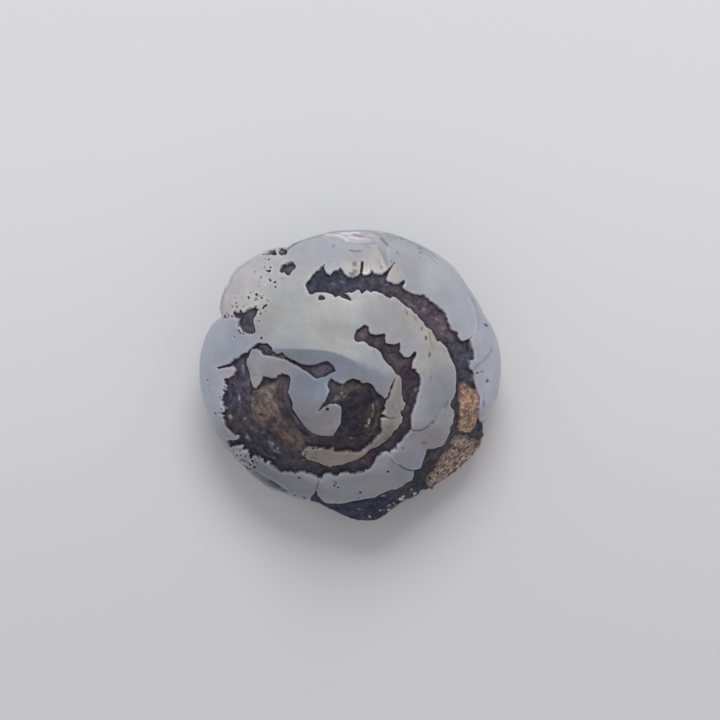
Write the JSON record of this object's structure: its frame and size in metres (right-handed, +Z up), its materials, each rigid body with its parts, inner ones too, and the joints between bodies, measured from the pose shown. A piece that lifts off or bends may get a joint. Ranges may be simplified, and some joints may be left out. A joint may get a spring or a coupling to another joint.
{
  "type": "land snail shell",
  "caption": "Low-domed coiled land snail shell replaced by blue-grey chalcedony, with dark matrix in its sutures and a sandy plug at its mouth.",
  "frame": {"origin": "centre of the bounding box's bottom face, on the surface that the shell lies on", "axes": "+Z up as the shell lies on its mouth side, +X across the shell towards the mouth, -Y towards the side that the apex leans to"},
  "size_m": [0.0305, 0.0294, 0.0174],
  "materials": {
    "chalcedony": null,
    "matrix": null
  },
  "bodies": {
    "root": {"snail_shell": "chalcedony"}
  },
  "joints": []
}
